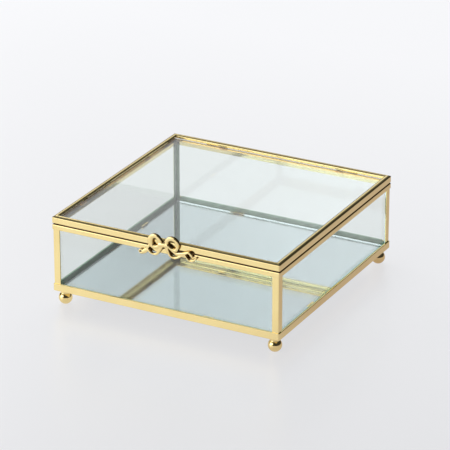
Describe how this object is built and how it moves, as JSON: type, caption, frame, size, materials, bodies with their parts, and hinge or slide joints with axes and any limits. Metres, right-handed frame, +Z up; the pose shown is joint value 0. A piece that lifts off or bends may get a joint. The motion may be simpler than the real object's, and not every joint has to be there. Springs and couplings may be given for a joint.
{
  "type": "glass jewelry box",
  "caption": "Square glass jewelry box in a slim brass frame, with a mirror floor, ball feet and a hinged glass lid that is lifted by a cast bow on its front rail.",
  "frame": {"origin": "middle of the footprint, on the plane the feet stand on", "axes": "+X to the right along the front, +Y from the front to the hinges at the back, +Z up"},
  "size_m": [0.15, 0.155, 0.0609],
  "materials": {
    "brass_frame": "satin, finely brushed",
    "polished_brass": "polished",
    "glass": "clear float glass",
    "seal": "matt grey glazing seal",
    "mirror": "silvered on the underside",
    "mirror_backing": "silvering with grey protective paint"
  },
  "bodies": {
    "base": {"lower_rail_front": "brass_frame", "lower_rail_right": "brass_frame", "lower_rail_rear": "brass_frame", "lower_rail_left": "brass_frame", "corner_post_front_left": "brass_frame", "corner_post_front_right": "brass_frame", "corner_post_rear_right": "brass_frame", "corner_post_rear_left": "brass_frame", "upper_rail_front": "brass_frame", "upper_rail_right": "brass_frame", "upper_rail_rear": "brass_frame", "upper_rail_left": "brass_frame", "front_pane": "glass", "right_pane": "glass", "rear_pane": "glass", "left_pane": "glass", "lower_seal_front": "seal", "lower_seal_right": "seal", "lower_seal_rear": "seal", "lower_seal_left": "seal", "corner_seal_front_left": "seal", "corner_seal_front_right": "seal", "corner_seal_rear_right": "seal", "corner_seal_rear_left": "seal", "mirror_plate": "mirror", "mirror_backing": "mirror_backing", "mirror_tabs": "polished_brass", "foot_front_left": "polished_brass", "foot_front_right": "polished_brass", "foot_rear_right": "polished_brass", "foot_rear_left": "polished_brass", "hinge_left_base_leaf": "polished_brass", "hinge_left_pin": "polished_brass", "hinge_right_base_leaf": "polished_brass", "hinge_right_pin": "polished_brass"},
    "lid": {"lid_rail_front": "brass_frame", "lid_rail_right": "brass_frame", "lid_rail_rear": "brass_frame", "lid_rail_left": "brass_frame", "lid_pane": "glass", "lid_tabs": "polished_brass", "bow_ornament": "polished_brass", "hinge_left_lid_leaf": "polished_brass", "hinge_right_lid_leaf": "polished_brass"}
  },
  "joints": [
    {"name": "lid_hinge", "type": "hinge", "parent": "base", "child": "lid", "pos_m": [0, 0.0764, 0.05255], "axis": [-1, 0, 0], "range_deg": [0, 110]}
  ]
}
